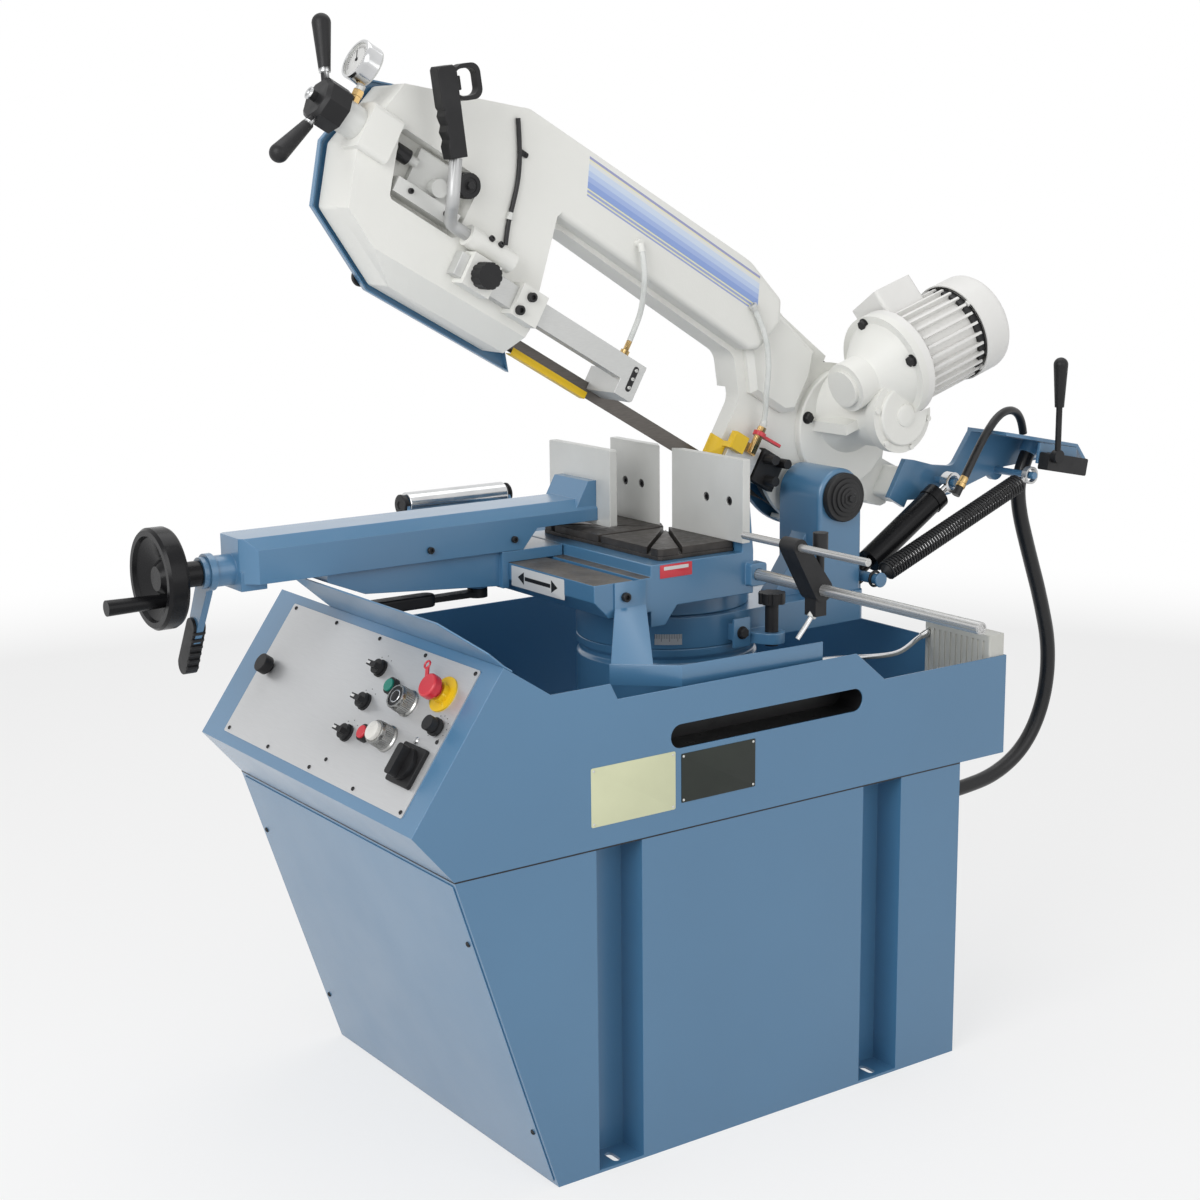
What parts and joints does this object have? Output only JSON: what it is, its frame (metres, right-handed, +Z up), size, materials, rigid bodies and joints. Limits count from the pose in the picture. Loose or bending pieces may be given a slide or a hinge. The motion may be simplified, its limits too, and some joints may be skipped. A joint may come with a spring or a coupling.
{
  "type": "mitre band saw",
  "caption": "Floor-standing metal-cutting mitre band saw with a raised pivoting bow, swivelling turntable, screw vise, chip tray on a sloped pedestal and a tilted control panel.",
  "frame": {"origin": "centre of the pedestal's floor face between the two anchor lines, on the floor", "axes": "+X from the control panel towards the bow's pivot, +Y away from the open long side (the stop rod points to -Y), +Z up"},
  "size_m": [1.9459, 1.415, 1.8587],
  "materials": {
    "blue_paint": "satin powder coat",
    "grey_paint": "semi-gloss light grey paint",
    "table_iron": "dark machined iron",
    "ground_steel": "ground",
    "rod_steel": "turned, satin",
    "panel_aluminium": "brushed",
    "chrome": "polished",
    "black_plastic": "fine-grained black",
    "gloss_black": "glossy black",
    "red_plastic": "glossy red",
    "green_plastic": "glossy green",
    "yellow_paint": "gloss yellow",
    "motor_grey": "satin grey",
    "gear_grey": "satin grey paint on casting",
    "black_rubber": "dull black",
    "hose": "semi-gloss black",
    "wheel_iron": "machined",
    "blade_steel": "cold-rolled strip",
    "tank_plastic": "milky pale plastic",
    "black_steel": "black oxide"
  },
  "bodies": {
    "base": {"pedestal": "blue_paint", "front_access_panel": "blue_paint", "chip_tray": "blue_paint", "panel_hood": "blue_paint", "control_plate": "panel_aluminium", "control_bezels": "chrome", "turret_base": "blue_paint", "vise_bed": "blue_paint", "work_table": "table_iron", "fixed_jaws": "ground_steel", "chip_deflector": "blue_paint", "roller_bracket": "blue_paint", "stop_rod": "rod_steel", "mist_reservoir": "tank_plastic"},
    "turntable": {"swivel_arm": "blue_paint"},
    "bow": {"bow_frame": "grey_paint", "wheel_cover": "blue_paint", "gearbox": "gear_grey", "motor": "motor_grey", "rear_bracket": "blue_paint", "tension_unit": "chrome", "fixed_guide": "grey_paint", "blade": "blade_steel", "bow_handle": "black_plastic", "pivot_shaft": "black_steel", "bow_hoses": "hose", "feed_hose": "hose", "guide_hose": "hose", "rear_conduit": "black_rubber"},
    "drive wheel": {"drive_wheel": "wheel_iron"},
    "idler wheel": {"idler_wheel": "wheel_iron"},
    "tension star": {"tension_star": "black_plastic"},
    "guide arm": {"guide_arm": "ground_steel"},
    "guide clamp knob": {"guide_clamp_knob": "black_plastic"},
    "trigger": {"trigger": "gloss_black"},
    "vise carriage": {"vise_carriage": "blue_paint"},
    "vise beam": {"vise_beam": "blue_paint", "movable_jaw": "ground_steel"},
    "handwheel": {"handwheel": "black_plastic"},
    "quick lever": {"quick_lever": "black_steel"},
    "lock lever": {"lock_lever": "black_plastic"},
    "support roller": {"support_roller": "chrome"},
    "stop clamp": {"stop_clamp": "blue_paint"},
    "stop bar": {"stop_bar": "rod_steel"},
    "left valve lever": {"valve_lever_left": "red_plastic"},
    "right valve lever": {"valve_lever_right": "red_plastic"},
    "mitre lock knob": {"mitre_lock_knob": "black_plastic"},
    "cylinder barrel": {"cylinder_barrel": "black_steel"},
    "cylinder rod": {"cylinder_rod": "chrome"},
    "spring coil": {"spring_coil": "black_steel"},
    "spring hook": {"spring_hook": "black_steel"},
    "flow lever": {"flow_lever": "black_plastic"},
    "selector high": {"selector_high": "black_plastic"},
    "selector mid": {"selector_mid": "black_plastic"},
    "selector low": {"selector_low": "black_plastic"},
    "pot knob": {"pot_knob": "black_plastic"},
    "main switch knob": {"main_switch_knob": "black_plastic"},
    "start button": {"start_button": "green_plastic"},
    "stop button": {"stop_button": "red_plastic"},
    "estop button": {"estop_button": "red_plastic"}
  },
  "joints": [
    {"name": "mitre_swivel", "type": "hinge", "parent": "base", "child": "turntable", "pos_m": [0.09, 0, 0.8], "axis": [0, 0, -1], "range_deg": [-60, 45], "deforming": ["rear_conduit"]},
    {"name": "bow_lift", "type": "hinge", "parent": "turntable", "child": "bow", "pos_m": [0.377, 0, 1.029], "axis": [0, 1, 0], "range_deg": [-29, 5], "deforming": ["rear_conduit"]},
    {"name": "drive_spin", "type": "hinge", "parent": "bow", "child": "drive wheel", "pos_m": [0.44357, 0, 1.1043], "axis": [0, 1, 0], "continuous": true},
    {"name": "idler_spin", "type": "hinge", "parent": "bow", "child": "idler wheel", "pos_m": [-0.4008, 0, 1.5918], "axis": [0, 1, 0], "continuous": true},
    {"name": "tension_turn", "type": "hinge", "parent": "bow", "child": "tension star", "pos_m": [-0.58691, -0.044, 1.71946], "axis": [0.866, 0, -0.5], "range_deg": [-360, 360]},
    {"name": "guide_slide", "type": "slide", "parent": "bow", "child": "guide arm", "axis": [0.866, 0, -0.5], "range_m": [-0.12, 0.1], "deforming": ["guide_hose"]},
    {"name": "guide_knob_turn", "type": "hinge", "parent": "bow", "child": "guide clamp knob", "pos_m": [-0.34746, -0.1, 1.4542], "axis": [0, 1, 0], "range_deg": [-180, 180]},
    {"name": "trigger_pull", "type": "slide", "parent": "bow", "child": "trigger", "axis": [-0.9903, 0, -0.1392], "range_m": [0, 0.004], "stiffness_N_per_m": 400},
    {"name": "vise_shift", "type": "slide", "parent": "base", "child": "vise carriage", "axis": [0, -1, 0], "range_m": [0, 0.236]},
    {"name": "jaw_slide", "type": "slide", "parent": "vise carriage", "child": "vise beam", "axis": [1, 0, 0], "range_m": [-0.15, 0.085]},
    {"name": "handwheel_turn", "type": "hinge", "parent": "vise beam", "child": "handwheel", "pos_m": [-0.842, 0.118, 0.985], "axis": [1, 0, 0], "range_deg": [-9010, 5110]},
    {"name": "quick_lever_swing", "type": "hinge", "parent": "vise beam", "child": "quick lever", "pos_m": [-0.752, 0.118, 0.985], "axis": [1, 0, 0], "range_deg": [0, 40]},
    {"name": "lock_lever_swing", "type": "hinge", "parent": "vise carriage", "child": "lock lever", "pos_m": [-0.24, 0.118, 0.88], "axis": [0, 0, 1], "range_deg": [-25, 25]},
    {"name": "roller_spin", "type": "hinge", "parent": "base", "child": "support roller", "pos_m": [0.03, 0.64, 0.96], "axis": [1, 0, 0], "continuous": true},
    {"name": "stop_clamp_slide", "type": "slide", "parent": "base", "child": "stop clamp", "axis": [0, 1, 0], "range_m": [-0.28, 0.01]},
    {"name": "stop_bar_slide", "type": "slide", "parent": "stop clamp", "child": "stop bar", "axis": [0, 1, 0], "range_m": [-0.08, 0]},
    {"name": "left_valve_turn", "type": "hinge", "parent": "guide arm", "child": "left valve lever", "pos_m": [-0.03062, -0.0363, 1.29898], "axis": [0.5, 0, 0.866], "range_deg": [0, 90]},
    {"name": "right_valve_turn", "type": "hinge", "parent": "bow", "child": "right valve lever", "pos_m": [0.2691, -0.046, 1.1421], "axis": [0.5, 0, 0.866], "range_deg": [-90, 0]},
    {"name": "mitre_lock_turn", "type": "hinge", "parent": "turntable", "child": "mitre lock knob", "pos_m": [0.173, -0.2, 0.87], "axis": [0, 0, 1], "range_deg": [-90, 90]},
    {"name": "cylinder_swing", "type": "hinge", "parent": "turntable", "child": "cylinder barrel", "pos_m": [0.45, -0.112, 0.87], "axis": [0, 1, 0], "range_deg": [-24.86, 4.7]},
    {"name": "rod_slide", "type": "slide", "parent": "cylinder barrel", "child": "cylinder rod", "axis": [0.8459, 0, 0.5333], "range_m": [-0.0154, 0.0845]},
    {"name": "spring_swing", "type": "hinge", "parent": "turntable", "child": "spring coil", "pos_m": [0.45, -0.165, 0.87], "axis": [0, 1, 0], "range_deg": [-28.08, 5.25]},
    {"name": "hook_slide", "type": "slide", "parent": "spring coil", "child": "spring hook", "axis": [0.9323, 0, 0.3617], "range_m": [-0.016, 0.0881]},
    {"name": "flow_lever_swing", "type": "hinge", "parent": "bow", "child": "flow lever", "pos_m": [0.88756, -0.203, 1.06332], "axis": [0, 1, 0], "range_deg": [-20, 20]},
    {"name": "selector_high_turn", "type": "hinge", "parent": "base", "child": "selector high", "pos_m": [-0.54562, -0.066, 0.8318], "axis": [-0.8154, 0, 0.579], "range_deg": [-45, 45]},
    {"name": "selector_mid_turn", "type": "hinge", "parent": "base", "child": "selector mid", "pos_m": [-0.58036, -0.072, 0.78288], "axis": [-0.8154, 0, 0.579], "range_deg": [-45, 45]},
    {"name": "selector_low_turn", "type": "hinge", "parent": "base", "child": "selector low", "pos_m": [-0.61394, -0.07, 0.73559], "axis": [-0.8154, 0, 0.579], "range_deg": [-45, 45]},
    {"name": "pot_turn", "type": "hinge", "parent": "base", "child": "pot knob", "pos_m": [-0.57689, -0.297, 0.78777], "axis": [-0.8154, 0, 0.579], "range_deg": [-135, 135]},
    {"name": "main_switch_turn", "type": "hinge", "parent": "base", "child": "main switch knob", "pos_m": [-0.61962, -0.276, 0.73104], "axis": [-0.8154, 0, 0.579], "range_deg": [0, 90]},
    {"name": "start_press", "type": "slide", "parent": "base", "child": "start button", "axis": [0.8154, 0, -0.579], "range_m": [0, 0.004], "stiffness_N_per_m": 400},
    {"name": "stop_press", "type": "slide", "parent": "base", "child": "stop button", "axis": [0.8154, 0, -0.579], "range_m": [0, 0.004], "stiffness_N_per_m": 400},
    {"name": "estop_press", "type": "slide", "parent": "base", "child": "estop button", "axis": [0.8154, 0, -0.579], "range_m": [0, 0.005]}
  ],
  "couplings": [
    {"joint": "idler_spin", "follows": "drive_spin", "ratio": 1},
    {"joint": "handwheel_turn", "follows": "jaw_slide", "rad_per_m": 1047.2},
    {"joint": "cylinder_swing", "follows": "bow_lift", "ratio": 0.84},
    {"joint": "rod_slide", "follows": "bow_lift", "m_per_rad": -0.165},
    {"joint": "spring_swing", "follows": "bow_lift", "ratio": 0.951},
    {"joint": "hook_slide", "follows": "bow_lift", "m_per_rad": -0.172}
  ]
}
